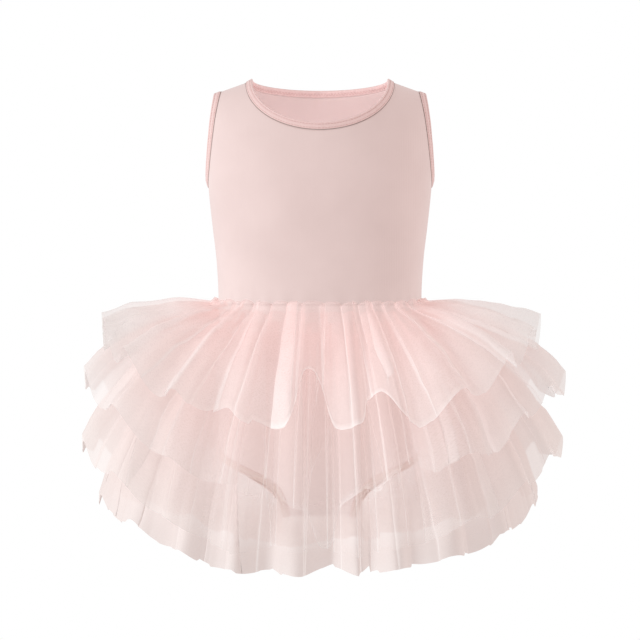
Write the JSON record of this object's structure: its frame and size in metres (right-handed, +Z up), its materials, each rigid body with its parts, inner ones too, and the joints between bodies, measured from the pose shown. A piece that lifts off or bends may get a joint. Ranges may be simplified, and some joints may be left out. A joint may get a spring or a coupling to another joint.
{
  "type": "child's ballet dress",
  "caption": "Sleeveless child's leotard with a scoop neck, bound edges and a gathered, layered tulle skirt, shown filled out.",
  "frame": {"origin": "midway between the two shoulder seams, where the wearer's shoulders carry the dress", "axes": "+Z up the body, -Y out of the dress's front, +X towards the wearer's left"},
  "size_m": [0.4351, 0.3345, 0.4456],
  "materials": {
    "knit": "matt brushed stretch knit",
    "binding": "matt folded knit strip",
    "tulle": "sheer matt net"
  },
  "bodies": {
    "root": {"bodice_front": "knit", "bodice_back": "knit", "brief_front": "knit", "brief_back": "knit", "crotch_gusset": "knit", "neck_binding": "binding", "arm_binding_left": "binding", "arm_binding_right": "binding", "leg_binding_left": "binding", "leg_binding_right": "binding", "tulle_tier_1": "tulle", "tulle_tier_2": "tulle", "tulle_tier_3": "tulle", "tulle_tier_4": "tulle"}
  },
  "joints": []
}
